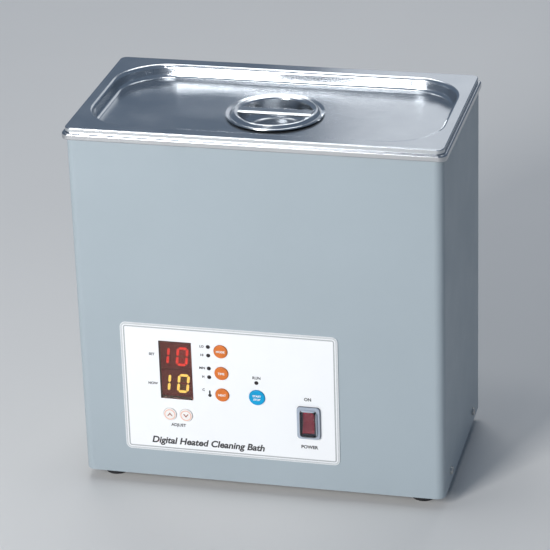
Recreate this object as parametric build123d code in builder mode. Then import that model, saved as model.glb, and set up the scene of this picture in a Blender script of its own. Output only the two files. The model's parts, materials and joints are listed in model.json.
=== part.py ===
from build123d import *
from math import cos, radians, sin, sqrt, tan
import os

# Bench-top ultrasonic cleaner: a deep-drawn steel tank hung in a painted sheet-metal
# casing, with a lift-off pan lid, a keypad front panel, four bonded transducers under
# the tank, their generator below them, and a fan, mains inlet and drain at the back.
# Millimetres, +Z up. The cleaner stands on z = 0, X runs across its front and -Y points
# at the user. The origin is the centre of the footprint, which includes the drain spigot.

os.makedirs("parts", exist_ok=True)

# ---------------------------------------------------------------- driving dimensions
# Casing and its frame
rim_width = 325.0
rim_depth = 180.0
rim_corner = 7.0
casing_width = 319.0
casing_depth = 174.0
casing_bottom = 10.0
casing_top = 323.0
casing_corner = 8.0
sheet = 1.0
return_width = 12.0
height_tolerance = 0.01
hex_sides = 6
casing_mouth_gap = 2.5
fit_gap = 0.2

# Tank
tank_width = 303.0
tank_front_to_back = 152.0
tank_depth = 150.0
tank_corner = 46.0
tank_bend = 12.0
mouth_radius = 3.0
gasket_inset = 1.0
gasket_gap = 3.5
flange_top = 327.0
hem_height = 5.5
hem_thickness = 2.5
hem_radius = 1.6
hem_inner_corner = 1.0

# Lid
lid_top = 331.3
lid_width = 320.0
lid_depth = 175.0
lid_corner = 6.0
lid_edge_radius = 0.9
recess_depth = 11.8
recess_width = 299.0
recess_front_to_back = 146.0
recess_corner = 43.0
recess_draft = 7.0
recess_lip = 3.5
recess_bend = 4.0
cup_seat_radius = 36.0
cup_bowl_radius = 31.5
cup_bowl_depth = 14.5
cup_lip_radius = 42.2
cup_lip_rise = 1.9
cup_valley_radius = 38.6
cup_ring_radius = 35.3
cup_ring_rise = 3.6
cup_shoulder_rise = 2.2
cup_bowl_taper = 1.0
cup_bends = [1.4, 1.5, 1.2, 10.0]
bar_length = 64.0
bar_width = 11.0
bar_height = 3.0
bar_wall = 1.2
bar_rise = 0.6
bar_fold = 1.6

# Front panel
panel_width = 190.0
panel_height = 121.5
panel_x = -25.9
panel_z = 95.8
panel_thickness = 0.8
panel_corner = 5.0
window_width = 29.0
window_height = 55.0
window_corner = 0.8
window_x = -73.0
window_z = 113.8
key_travel = 0.5
key_proud = 1.1
key_rounding = 0.66
key_gap = 0.3
key_collar = 1.0
key_stem_radius = 1.6
moving_gap = 0.1
board_depth = 9.8
key_places = {
    "key_mode": (-32.7, 135.2, 6.0),
    "key_time": (-32.7, 114.5, 6.0),
    "key_heat": (-32.7, 94.0, 6.0),
    "key_start": (-2.1, 94.2, 7.0),
    "key_up": (-80.0, 71.5, 5.8),
    "key_down": (-65.7, 71.5, 5.8),
}
led_radius = 1.75
led_proud = 0.4
led_rounding = 0.6
led_places = [(-43.7, 138.7), (-43.7, 130.6), (-43.7, 118.3), (-43.7, 110.0), (-2.3, 108.0)]

# Power switch
switch_x = 42.7
switch_z = 74.3
switch_width = 20.0
switch_height = 30.0
bezel_proud = 1.4
rocker_width = 10.2
rocker_half = 9.8
rocker_tilt = 7.0
rocker_gap = 0.3
rocker_end_gap = 0.8
rocker_waist = 3.0
rocker_tip = 4.2
rocker_heel = 5.0
rocker_shoulder = 0.5
rocker_rounding = 0.5
pivot_depth = 1.5
pivot_reach = 1.5
switch_inset = 1.7
switch_well = 8.5
bezel_corner = 2.5
tab_length = 8.0
tab_width = 4.8
tab_thickness = 0.8
tab_pitch = 9.0
tab_count = 3
cover_height = 3.6
cover_flange = 1.2
cover_inset = 2.0
cover_wall = 0.8
cover_corner = 3.0
cover_flange_rounding = 0.5
cover_dome_corner = 5.0
cover_dome_rounding = 1.4
cover_room_x = 1.1
cover_room_z = 1.7

# Transducers, under the tank
transducer_pitch_x = 130.0
transducer_pitch_y = 62.0
horn_radius = 29.5
stack_radius = 19.5
horn_height = 26.0
ring_height = 5.0
plate_height = 0.4
plate_radius = 20.5
back_mass_height = 20.0
horn_rim = 6.0
bolt_thread_depth = 10.0
bolt_end_gap = 2.0
bolt_head_radius = 8.0
bolt_head_height = 8.0

# Rear fittings
fan_x = 70.0
fan_z = 70.0
fan_size = 60.0
fan_depth = 15.0
fan_wall = 1.5
fan_corner = 4.0
fan_panel_inset = 2.0
fan_hole_pitch = 50.0
inlet_x = 122.0
inlet_z = 60.0
drain_x = -110.0
drain_z = 75.0
drain_inset = 35.0
pipe_radius = 8.0
pipe_bore = 4.5
pipe_bend = 30.0
pipe_hole_gap = 0.5
fitting_length = 26.0
strainer_radius = 12.0
strainer_height = 1.2
strainer_hole = 1.0
strainer_pitch = 2.8
strainer_ring_holes = 6
nut_radius = 13.0
nut_height = 7.0
valve_start = 3.0
valve_centre = 15.5
valve_end = 28.0
valve_hex_radius = 10.5
spigot_radius = 6.0
spigot_length = 22.0
plug_radius = 7.0
barrel_radius = 11.0
barrel_half = 13.0
barrel_floor = 3.0
plug_gap = 0.06
plug_square = 6.0
plug_square_height = 5.0
inlet_body_width = 27.5
inlet_body_height = 41.0
socket_width = 24.4
socket_height = 16.6
socket_depth = 18.0
socket_drop = 9.0
socket_chamfer = 4.0
inlet_lip = 2.5
inlet_corner = 3.0
inlet_rounding = 0.8
contact_width = 2.0
contact_height = 4.0
contact_recess = 3.0
contact_rounding = 0.6
contact_places = [(-7.0, -1.5), (0, 2.5), (7.0, -1.5)]
drawer_rise = 12.0
drawer_gap = 0.3
drawer_length = 22.0
drawer_end_gap = 2.0
drawer_corner = 1.0
drawer_rounding = 0.5
drawer_head = 1.6
drawer_lip = 1.3
fuse_radius = 2.2
fuse_cap_radius = 2.6
fuse_cap_length = 5.0
fuse_half = 10.0
fuse_inset = 14.0
blade_count = 7
blade_pitch = 40.0
blade_chord = 13.0
blade_thickness = 1.2
hub_radius = 12.5
hub_wall = 0.8
hub_rounding = 1.2
rotor_gap = 1.0
blade_tip_gap = 1.0
shaft_radius = 1.5
spider_width = 4.0
spider_thickness = 2.0
guard_rings = [7.0, 14.0, 21.0, 28.0]
guard_wire = 2.0
guard_eye_radius = 4.2

# Sheets, screws, feet and boards
screw_radius = 1.9
screw_hole_radius = 2.0
screw_head_radius = 3.5
screw_head_height = 2.0
head_rounding = 0.8
cross_length = 3.6
cross_width = 0.8
cross_depth = 1.0
rear_screw_inset = 7.0
rear_screw_length = 6.0
side_screw_length = 7.0
side_screw_y = 56.0
side_screw_z = 22.3
rear_screw_heights = [30.0, 120.0, 215.0, 305.0]
foot_radius = 10.3
foot_pocket_radius = 4.5
foot_pocket_depth = 5.5
foot_taper = 4.0
foot_rounding = 1.0
foot_stud_height = 6.0
foot_nut_radius = 4.0
foot_nut_height = 3.0
foot_x = 137.5
foot_y = 65.0
base_width = 316.8
base_sheet = 1.2
base_flange = 20.0
base_flange_ends = 10.0
base_gap = 0.3
vent_x = -30.0
vent_z = 75.0
vent_pitch = 8.0
vent_count = 9
vent_length = 50.0
vent_width = 3.5
window_depth = 1.6
board_thickness = 1.6
board_x = -42.0
board_z = 104.0
board_width = 116.0
board_height = 92.0
board_margin = 4.0
board_hole_radius = 1.7
stud_radius = 1.5
stud_end = 3.0
spacer_radius = 3.0
module_height = 25.0
module_gap = 0.3
lead_pitch = 2.54
lead_count = 5
lead_size = 0.5
lead_hole_radius = 0.45
lead_length = 3.0
lead_inset = 3.0
tact_size = 6.0
tact_height = 3.5
plunger_radius = 1.75
plunger_height = 1.0
switch_body_depth = 22.0
pin_radius = 1.2
bolt_radius = 5.0
ring_bore = 8.0
heater_length = 190.0
heater_height = 60.0
heater_rise = 60.0
heater_corner = 4.0
heater_thickness = 1.5
sensor_rise = 40.0
sensor_length = 26.0
sensor_width = 9.0
sensor_height = 3.0
sensor_hole_pitch = 19.0
sensor_hole_radius = 1.6
sensor_rounding = 1.0
standoff_height = 8.0
standoff_radius = 3.2
standoff_stud = 2.0
generator_x = -30.0
generator_length = 150.0
generator_width = 100.0
generator_margin = 5.0
generator_corner = 2.0
heatsink_length = 90.0
heatsink_height = 34.0
heatsink_web = 4.0
heatsink_shift = -10.0
heatsink_y = 22.0
fin_count = 13
fin_pitch = 7.0
fin_depth = 18.2
fin_thickness = 1.5
transistor_count = 4
transistor_pitch = 22.0
transistor_width = 15.6
transistor_thickness = 4.8
transistor_height = 20.0
transistor_rise = 3.0
pin_pitch = 5.4
pin_width = 1.2
pin_thickness = 0.6
pin_count = 3
core_length = 42.0
core_width = 12.0
core_height = 36.0
winding_size = 30.0
winding_height = 26.0
winding_rise = 5.0
winding_corner = 7.0
capacitor_radius = 11.0
capacitor_height = 35.0
capacitor_pitch = 27.0
capacitor_rounding = 1.2
capacitor_x = 30.0
capacitor_y = -24.0
transformer_x = -45.0
transformer_y = -22.0
guard_thickness = 1.6
inlet_flange = 2.5
inlet_depth = 24.0
drawer_width = 22.0
drawer_height = 8.6
lever_length = 42.0
lever_width = 9.0
lever_eye_radius = 8.0
lever_thickness = 4.0
lever_gap = 0.5
lever_rounding = 1.0

# ---------------------------------------------------------------- places worked out
# Inside the casing the front sheet, the rear return and the rear panel take a sheet each
inner_depth = casing_depth - 3 * sheet
cover_front = casing_depth / 2 + panel_thickness + bezel_proud + cover_height
spigot_end = casing_depth / 2 + valve_end + spigot_length
case_y = (cover_front - spigot_end) / 2
front_y = case_y - casing_depth / 2
rear_y = case_y + casing_depth / 2
tank_floor = flange_top - tank_depth
tank_bottom = tank_floor - sheet
centre = (0, case_y)
foot_places = {
    "foot_front_left": (-foot_x, case_y - foot_y),
    "foot_front_right": (foot_x, case_y - foot_y),
    "foot_rear_left": (-foot_x, case_y + foot_y),
    "foot_rear_right": (foot_x, case_y + foot_y),
}
rear_screw_x = casing_width / 2 - rear_screw_inset
rear_screw_places = [(side * rear_screw_x, z) for side in (-1, 1) for z in rear_screw_heights]


def front_plane(depth):
    """The plane `depth` behind the casing's front face; extrusions run towards the user."""
    return Plane.XZ.offset(-(front_y + depth))


def rear_plane(out):
    """The plane `out` behind the casing's rear face; negative extrusions run outwards."""
    return Plane.XZ.offset(-(rear_y + out))


def save(builder, name):
    """Label a finished piece and write it to its own STEP file."""
    builder.part.label = name
    export_step(builder.part, f"parts/{name}.step")


def draw_cross():
    """The cross recess of a screw head."""
    Rectangle(cross_length, cross_width)
    Rectangle(cross_width, cross_length)


def fan_corners():
    """The fan's four screw places, about its middle."""
    return GridLocations(fan_hole_pitch, fan_hole_pitch, 2, 2)


def faces_at(builder, height):
    """The flat faces of a piece that lie at one height."""
    flat = builder.faces().filter_by(Plane.XY)
    return flat.filter_by_position(Axis.Z, height - height_tolerance, height + height_tolerance)


# ---------------------------------------------------------------- tank
with BuildPart() as tank:
    with BuildSketch(Plane.XY.offset(tank_bottom)):
        with Locations(centre):
            RectangleRounded(tank_width + 2 * sheet, tank_front_to_back + 2 * sheet, tank_corner + sheet)
    extrude(amount=flange_top - tank_bottom)
    with BuildSketch(Plane.XY.offset(flange_top - sheet)):
        with Locations(centre):
            RectangleRounded(rim_width, rim_depth, rim_corner)
    extrude(amount=sheet)
    with BuildSketch(Plane.XY.offset(flange_top - hem_height)):
        with Locations(centre):
            RectangleRounded(rim_width, rim_depth, rim_corner)
            RectangleRounded(
                rim_width - 2 * hem_thickness,
                rim_depth - 2 * hem_thickness,
                hem_inner_corner,
                mode=Mode.SUBTRACT,
            )
    extrude(amount=hem_height)
    fillet(faces_at(tank, flange_top)[0].outer_wire().edges(), hem_radius)
    fillet(faces_at(tank, flange_top - hem_height)[0].outer_wire().edges(), hem_radius / 2)
    with BuildSketch(Plane.XY.offset(tank_floor)):
        with Locations(centre):
            RectangleRounded(tank_width, tank_front_to_back, tank_corner)
    extrude(amount=tank_depth, mode=Mode.SUBTRACT)
    fillet(faces_at(tank, tank_floor)[0].outer_wire().edges(), tank_bend)
    fillet(faces_at(tank, tank_bottom)[0].outer_wire().edges(), tank_bend + sheet)
    fillet(faces_at(tank, flange_top)[0].inner_wires()[0].edges(), mouth_radius)
    with BuildSketch(Plane.XY.offset(tank_bottom)):
        with Locations((drain_x, case_y + drain_inset)):
            Circle(pipe_radius + moving_gap)
    extrude(amount=sheet, mode=Mode.SUBTRACT)
save(tank, "tank")

# Foam strip between the tank's flange and the casing's top edge
with BuildPart() as tank_gasket:
    with BuildSketch(Plane.XY.offset(casing_top)):
        with Locations(centre):
            RectangleRounded(casing_width - 2 * gasket_inset, casing_depth - 2 * gasket_inset, casing_corner)
            RectangleRounded(
                tank_width + 2 * gasket_gap,
                tank_front_to_back + 2 * gasket_gap,
                tank_corner,
                mode=Mode.SUBTRACT,
            )
    extrude(amount=flange_top - sheet - casing_top)
save(tank_gasket, "tank_gasket")

# ---------------------------------------------------------------- lid
recess_floor = lid_top - recess_depth
with BuildPart() as lid_pan:
    with BuildSketch(Plane.XY.offset(flange_top)):
        with Locations(centre):
            RectangleRounded(lid_width, lid_depth, lid_corner)
    extrude(amount=lid_top - flange_top)
    fillet(faces_at(lid_pan, lid_top)[0].outer_wire().edges(), lid_edge_radius)
    with BuildSketch(Plane.XY.offset(flange_top)):
        with Locations(centre):
            RectangleRounded(lid_width - 2 * sheet, lid_depth - 2 * sheet, lid_corner - sheet)
    extrude(amount=lid_top - sheet - flange_top, mode=Mode.SUBTRACT)
    recess_slope = 2 * recess_depth * tan(radians(recess_draft))
    with BuildSketch(Plane.XY.offset(recess_floor - sheet)):
        with Locations(centre):
            RectangleRounded(
                recess_width + 2 * sheet - recess_slope,
                recess_front_to_back + 2 * sheet - recess_slope,
                recess_corner + sheet - recess_slope / 2,
            )
    extrude(amount=recess_depth, taper=-recess_draft)
    with BuildSketch(Plane.XY.offset(recess_floor)):
        with Locations(centre):
            RectangleRounded(
                recess_width - recess_slope,
                recess_front_to_back - recess_slope,
                recess_corner - recess_slope / 2,
            )
    extrude(amount=recess_depth, taper=-recess_draft, mode=Mode.SUBTRACT)
    fillet(faces_at(lid_pan, recess_floor)[0].outer_wire().edges(), recess_bend)
    fillet(faces_at(lid_pan, recess_floor - sheet)[0].outer_wire().edges(), recess_bend + sheet)
    fillet(faces_at(lid_pan, lid_top)[0].inner_wires()[0].edges(), recess_lip)
    with BuildSketch(Plane.XY.offset(recess_floor - sheet)):
        with Locations(centre):
            Circle(cup_seat_radius)
    extrude(amount=sheet, mode=Mode.SUBTRACT)
save(lid_pan, "lid_pan")

# Pressed finger cup let into the middle of the pan, drawn as the sheet's middle line
cup_floor = recess_floor - cup_bowl_depth
cup_axis = Axis((0, case_y, 0), (0, 0, 1))
with BuildPart() as lid_grip_cup:
    with BuildSketch(Plane.XZ.offset(-case_y)) as cup_section:
        with BuildLine():
            FilletPolyline(
                (cup_lip_radius, recess_floor + cup_lip_rise),
                (cup_valley_radius, recess_floor + sheet / 2),
                (cup_ring_radius, recess_floor + cup_ring_rise),
                (cup_bowl_radius + sheet / 2, recess_floor + cup_shoulder_rise),
                (cup_bowl_radius - cup_bowl_taper, cup_floor),
                (0, cup_floor),
                radius=cup_bends,
            )
        trace(line_width=sheet)
        with Locations((-sheet, cup_floor)):
            Rectangle(2 * sheet, 2 * sheet, mode=Mode.SUBTRACT)
    revolve(axis=cup_axis)
save(lid_grip_cup, "lid_grip_cup")

# Grip bar across the cup: a channel with its edges turned down, ends welded to the cup's lip
bar_bottom = recess_floor + bar_rise
with BuildPart() as lid_grip_bar:
    with BuildSketch(Plane.XY.offset(bar_bottom)):
        with Locations(centre):
            Rectangle(bar_length, bar_width)
    extrude(amount=bar_height)
    long_edges = faces_at(lid_grip_bar, bar_bottom + bar_height).edges().filter_by(Axis.X)
    fillet(long_edges, bar_fold)
    with BuildSketch(Plane.XY.offset(bar_bottom)):
        with Locations(centre):
            Rectangle(bar_length, bar_width - 2 * bar_wall)
    extrude(amount=bar_height - bar_wall, mode=Mode.SUBTRACT)
save(lid_grip_bar, "lid_grip_bar")


# ---------------------------------------------------------------- panel cut-outs
def draw_panel_holes():
    """Outlines of the window, keys, lamps and switch, to be cut through a front sheet."""
    with Locations((window_x, window_z)):
        Rectangle(window_width, window_height)
    for x, z, radius in key_places.values():
        with Locations((x, z)):
            Circle(radius + key_gap)
    with Locations(*led_places):
        Circle(led_radius + moving_gap)
    with Locations((switch_x, switch_z)):
        Rectangle(
            switch_width - 2 * switch_inset + 2 * fit_gap,
            switch_height - 2 * switch_inset + 2 * fit_gap,
        )


# ---------------------------------------------------------------- casing
casing_height = casing_top - casing_bottom
casing_middle = (casing_top + casing_bottom) / 2
with BuildPart() as casing_wrap:
    with BuildSketch(Plane.XY.offset(casing_bottom)):
        with Locations(centre):
            Rectangle(casing_width, casing_depth)
    extrude(amount=casing_height)
    uprights = casing_wrap.edges().filter_by(Axis.Z).group_by(Axis.Y)
    fillet(uprights[0], casing_corner)
    with BuildSketch(Plane.XY.offset(casing_bottom)) as hollow:
        with Locations((0, case_y - sheet / 2)):
            Rectangle(casing_width - 2 * sheet, inner_depth)
        fillet(hollow.vertices().group_by(Axis.Y)[0], casing_corner - sheet)
    extrude(amount=casing_height - sheet, mode=Mode.SUBTRACT)
    with BuildSketch(Plane.XY.offset(casing_top - sheet)):
        with Locations(centre):
            RectangleRounded(
                tank_width + 2 * casing_mouth_gap,
                tank_front_to_back + 2 * casing_mouth_gap,
                tank_corner,
            )
    extrude(amount=sheet, mode=Mode.SUBTRACT)
    # Seat for the rear panel, then the opening inside the side, top and bottom returns
    with BuildSketch(rear_plane(0)):
        with Locations((0, casing_middle)):
            Rectangle(casing_width - 2 * sheet, casing_height)
    extrude(amount=sheet, mode=Mode.SUBTRACT)
    with BuildSketch(rear_plane(-sheet)):
        with Locations((0, casing_middle)):
            Rectangle(casing_width - 2 * (sheet + return_width), casing_height - 2 * return_width)
    extrude(amount=sheet, mode=Mode.SUBTRACT)
    with BuildSketch(front_plane(sheet)):
        draw_panel_holes()
    extrude(amount=sheet, mode=Mode.SUBTRACT)
    with BuildSketch(Plane.YZ):
        with Locations((case_y - side_screw_y, side_screw_z), (case_y + side_screw_y, side_screw_z)):
            Circle(screw_hole_radius)
    extrude(amount=casing_width, both=True, mode=Mode.SUBTRACT)
    with BuildSketch(rear_plane(-2 * sheet)):
        with Locations(*rear_screw_places):
            Circle(screw_hole_radius)
    extrude(amount=-2 * sheet, mode=Mode.SUBTRACT)
save(casing_wrap, "casing_wrap")

with BuildPart() as rear_panel:
    with BuildSketch(rear_plane(-sheet)):
        with Locations((0, casing_middle)):
            Rectangle(casing_width - 2 * sheet - 2 * fit_gap, casing_height - 2 * sheet)
        with Locations((fan_x, fan_z)):
            Circle(fan_size / 2 - fan_panel_inset, mode=Mode.SUBTRACT)
            with fan_corners():
                Circle(screw_hole_radius, mode=Mode.SUBTRACT)
        with Locations((inlet_x, inlet_z)):
            Rectangle(
                inlet_body_width + 2 * fit_gap,
                inlet_body_height + 2 * fit_gap,
                mode=Mode.SUBTRACT,
            )
        with Locations((drain_x, drain_z)):
            Circle(pipe_radius + pipe_hole_gap, mode=Mode.SUBTRACT)
        with Locations((vent_x, vent_z)):
            with GridLocations(vent_pitch, 0, vent_count, 1):
                SlotOverall(vent_length, vent_width, rotation=90, mode=Mode.SUBTRACT)
        with Locations(*rear_screw_places):
            Circle(screw_hole_radius, mode=Mode.SUBTRACT)
    extrude(amount=-sheet)
save(rear_panel, "rear_panel")

with BuildPart() as rear_panel_screws:
    with BuildSketch(rear_plane(0)):
        with Locations(*rear_screw_places):
            Circle(screw_head_radius)
    extrude(amount=-screw_head_height)
    rear_heads = rear_panel_screws.faces().sort_by(Axis.Y)[-len(rear_screw_places):]
    fillet(rear_heads.edges(), head_rounding)
    with BuildSketch(rear_plane(0)):
        with Locations(*rear_screw_places):
            Circle(screw_radius)
    extrude(amount=rear_screw_length)
    with BuildSketch(rear_plane(screw_head_height)):
        with Locations(*rear_screw_places):
            draw_cross()
    extrude(amount=cross_depth, mode=Mode.SUBTRACT)
save(rear_panel_screws, "rear_panel_screws")

# Base tray: the floor sheet with its two sides turned up for the side screws
with BuildPart() as base_plate:
    with BuildSketch(Plane.XY.offset(casing_bottom)) as base_outline:
        with Locations((0, case_y - sheet / 2)):
            Rectangle(base_width, inner_depth - 2 * base_gap)
        fillet(base_outline.vertices().group_by(Axis.Y)[0], casing_corner - sheet)
    extrude(amount=base_sheet)
    with BuildSketch(Plane.XY.offset(casing_bottom + base_sheet)):
        for side in (-1, 1):
            with Locations((side * (base_width - base_sheet) / 2, case_y)):
                Rectangle(base_sheet, 2 * (side_screw_y + base_flange_ends))
    extrude(amount=base_flange)
    with BuildSketch(Plane.YZ):
        with Locations((case_y - side_screw_y, side_screw_z), (case_y + side_screw_y, side_screw_z)):
            Circle(screw_hole_radius)
    extrude(amount=casing_width, both=True, mode=Mode.SUBTRACT)
    with BuildSketch(Plane.XY.offset(casing_bottom)):
        with Locations(*foot_places.values()):
            Circle(screw_hole_radius)
        with Locations(centre):
            with GridLocations(vent_pitch, 0, vent_count, 1):
                SlotOverall(vent_length, vent_width, rotation=90)
    extrude(amount=base_sheet, mode=Mode.SUBTRACT)
save(base_plate, "base_plate")

# Pan-head screws through the casing's sides into the turned-up edges of the base tray
with BuildPart() as base_screws:
    for side in (-1, 1):
        outward = Plane(
            origin=(side * casing_width / 2, case_y, side_screw_z),
            x_dir=(0, side, 0),
            z_dir=(side, 0, 0),
        )
        with BuildSketch(outward):
            with GridLocations(2 * side_screw_y, 0, 2, 1):
                Circle(screw_head_radius)
        extrude(amount=screw_head_height)
        head_faces = base_screws.faces().filter_by(Axis.X).group_by(Axis.X)
        fillet(head_faces[0 if side < 0 else -1].edges(), head_rounding)
        with BuildSketch(outward):
            with GridLocations(2 * side_screw_y, 0, 2, 1):
                Circle(screw_radius)
        extrude(amount=-side_screw_length)
        with BuildSketch(outward.offset(screw_head_height)):
            with GridLocations(2 * side_screw_y, 0, 2, 1):
                draw_cross()
        extrude(amount=-cross_depth, mode=Mode.SUBTRACT)
save(base_screws, "base_screws")

# ---------------------------------------------------------------- feet


def make_foot(place):
    """A tapered rubber foot with a counterbored hole for its screw."""
    with BuildPart() as foot:
        with BuildSketch(Plane.XY):
            with Locations(place):
                Circle(foot_radius)
        extrude(amount=casing_bottom, taper=-foot_taper)
        fillet(faces_at(foot, 0).edges(), foot_rounding)
        with BuildSketch(Plane.XY):
            with Locations(place):
                Circle(foot_pocket_radius)
        extrude(amount=foot_pocket_depth, mode=Mode.SUBTRACT)
        with BuildSketch(Plane.XY):
            with Locations(place):
                Circle(screw_hole_radius)
        extrude(amount=casing_bottom, mode=Mode.SUBTRACT)
    return foot


for foot_name, foot_place in foot_places.items():
    save(make_foot(foot_place), foot_name)

with BuildPart() as foot_screws:
    with BuildSketch(Plane.XY.offset(foot_pocket_depth - screw_head_height)):
        with Locations(*foot_places.values()):
            Circle(screw_head_radius)
    extrude(amount=screw_head_height)
    with BuildSketch(Plane.XY.offset(foot_pocket_depth)):
        with Locations(*foot_places.values()):
            Circle(screw_radius)
    extrude(amount=casing_bottom + foot_stud_height - foot_pocket_depth)
    with BuildSketch(Plane.XY.offset(casing_bottom + base_sheet)):
        with Locations(*foot_places.values()):
            RegularPolygon(radius=foot_nut_radius, side_count=hex_sides)
    extrude(amount=foot_nut_height)
save(foot_screws, "foot_screws")

# ---------------------------------------------------------------- front panel
with BuildPart() as panel_overlay:
    with BuildSketch(front_plane(0)):
        with Locations((panel_x, panel_z)):
            RectangleRounded(panel_width, panel_height, panel_corner)
    extrude(amount=panel_thickness)
    with BuildSketch(front_plane(0)):
        draw_panel_holes()
    extrude(amount=panel_thickness, mode=Mode.SUBTRACT)
save(panel_overlay, "panel_overlay")

with BuildPart() as display_window:
    with BuildSketch(front_plane(window_depth)):
        with Locations((window_x, window_z)):
            RectangleRounded(window_width - 2 * moving_gap, window_height - 2 * moving_gap, window_corner)
    extrude(amount=window_depth + panel_thickness)
save(display_window, "display_window")

module_places = {
    "display_module_upper": window_z + module_height / 2 + module_gap,
    "display_module_lower": window_z - module_height / 2 - module_gap,
}


def make_display_module(z):
    """A two-digit display block with its row of leads through the board."""
    with BuildPart() as module:
        with BuildSketch(front_plane(board_depth)):
            with Locations((window_x, z)):
                Rectangle(window_width - 2 * sheet, module_height)
        extrude(amount=board_depth - window_depth - moving_gap)
        with BuildSketch(front_plane(board_depth + lead_length)):
            for row in (-1, 1):
                with Locations((window_x, z + row * (module_height / 2 - lead_inset))):
                    with GridLocations(lead_pitch, 0, lead_count, 1):
                        Rectangle(lead_size, lead_size)
        extrude(amount=lead_length)
    return module


for module_name, module_z in module_places.items():
    save(make_display_module(module_z), module_name)


def board_corners():
    """The control board's four screw places, about its middle."""
    return GridLocations(board_width - 2 * board_margin, board_height - 2 * board_margin, 2, 2)


with BuildPart() as control_board:
    with BuildSketch(front_plane(board_depth + board_thickness)):
        with Locations((board_x, board_z)):
            Rectangle(board_width, board_height)
            with board_corners():
                Circle(board_hole_radius, mode=Mode.SUBTRACT)
        for module_z in module_places.values():
            for row in (-1, 1):
                with Locations((window_x, module_z + row * (module_height / 2 - lead_inset))):
                    with GridLocations(lead_pitch, 0, lead_count, 1):
                        Circle(lead_hole_radius, mode=Mode.SUBTRACT)
    extrude(amount=board_thickness)
save(control_board, "control_board")

with BuildPart() as board_spacers:
    with BuildSketch(front_plane(board_depth)):
        with Locations((board_x, board_z)):
            with board_corners():
                RegularPolygon(radius=spacer_radius, side_count=hex_sides)
    extrude(amount=board_depth - sheet)
    with BuildSketch(front_plane(board_depth + board_thickness + stud_end)):
        with Locations((board_x, board_z)):
            with board_corners():
                Circle(stud_radius)
    extrude(amount=board_thickness + stud_end)
save(board_spacers, "board_spacers")

with BuildPart() as tact_switches:
    for key_x, key_z, _ in key_places.values():
        with BuildSketch(front_plane(board_depth)):
            with Locations((key_x, key_z)):
                Rectangle(tact_size, tact_size)
        extrude(amount=tact_height)
        with BuildSketch(front_plane(board_depth - tact_height)):
            with Locations((key_x, key_z)):
                Circle(plunger_radius)
        extrude(amount=plunger_height)
save(tact_switches, "tact_switches")

with BuildPart() as indicator_lamps:
    with BuildSketch(front_plane(board_depth)):
        with Locations(*led_places):
            Circle(led_radius)
    extrude(amount=board_depth + panel_thickness + led_proud)
    fillet(indicator_lamps.faces().sort_by(Axis.Y)[: len(led_places)].edges(), led_rounding)
save(indicator_lamps, "indicator_lamps")


def make_key(x, z, radius):
    """A push key: a rounded cap, a collar behind the sheet and a stem to its switch."""
    collar_depth = sheet + moving_gap
    stem_end = board_depth - tact_height - plunger_height - key_travel - moving_gap
    with BuildPart() as key:
        with BuildSketch(front_plane(collar_depth)):
            with Locations((x, z)):
                Circle(radius)
        extrude(amount=collar_depth + panel_thickness + key_proud)
        fillet(key.faces().sort_by(Axis.Y)[0].edges(), key_rounding)
        with BuildSketch(front_plane(collar_depth + key_collar)):
            with Locations((x, z)):
                Circle(radius + key_collar)
        extrude(amount=key_collar)
        with BuildSketch(front_plane(stem_end)):
            with Locations((x, z)):
                Circle(key_stem_radius)
        extrude(amount=stem_end - collar_depth - key_collar)
    return key


for key_name, key_place in key_places.items():
    save(make_key(*key_place), key_name)

# ---------------------------------------------------------------- power switch
bezel_front = -(panel_thickness + bezel_proud)
pivot = (front_y + pivot_depth, switch_z)
with BuildPart() as power_switch_body:
    with BuildSketch(front_plane(switch_body_depth)):
        with Locations((switch_x, switch_z)):
            Rectangle(switch_width - 2 * switch_inset, switch_height - 2 * switch_inset)
    extrude(amount=switch_body_depth + panel_thickness)
    with BuildSketch(front_plane(-panel_thickness)):
        with Locations((switch_x, switch_z)):
            RectangleRounded(switch_width, switch_height, bezel_corner)
    extrude(amount=bezel_proud)
    with BuildSketch(front_plane(switch_well)):
        with Locations((switch_x, switch_z)):
            Rectangle(rocker_width + 2 * rocker_gap, 2 * (rocker_half + rocker_end_gap))
    extrude(amount=switch_well - bezel_front, mode=Mode.SUBTRACT)
    with BuildSketch(Plane.YZ.offset(switch_x)):
        with Locations(pivot):
            Circle(pin_radius + moving_gap / 2)
    extrude(amount=rocker_width / 2 + pivot_reach + rocker_gap, both=True, mode=Mode.SUBTRACT)
    with BuildSketch(front_plane(switch_body_depth)):
        with Locations((switch_x, switch_z)):
            with GridLocations(0, tab_pitch, 1, tab_count):
                Rectangle(tab_width, tab_thickness)
    extrude(amount=-tab_length)
save(power_switch_body, "power_switch_body")

# Rocker drawn edge-on about its pivot, then tilted to the on position, top pressed in
with BuildPart() as power_rocker:
    with BuildSketch(Plane.YZ.offset(switch_x)):
        with Locations(Location((pivot[0], pivot[1], 0), (0, 0, -rocker_tilt))):
            Polygon(
                (-rocker_waist, 0),
                (-rocker_tip, rocker_half),
                (-rocker_shoulder, rocker_half + moving_gap),
                (rocker_heel, rocker_heel),
                (rocker_heel, -rocker_heel),
                (-rocker_shoulder, -rocker_half - moving_gap),
                (-rocker_tip, -rocker_half),
                align=None,
            )
    extrude(amount=rocker_width / 2, both=True)
    fillet(power_rocker.edges().filter_by(Axis.X).group_by(Axis.Y)[0], rocker_rounding)
    with BuildSketch(Plane.YZ.offset(switch_x)):
        with Locations(pivot):
            Circle(pin_radius)
    extrude(amount=rocker_width / 2 + pivot_reach, both=True)
save(power_rocker, "power_rocker")

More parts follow.
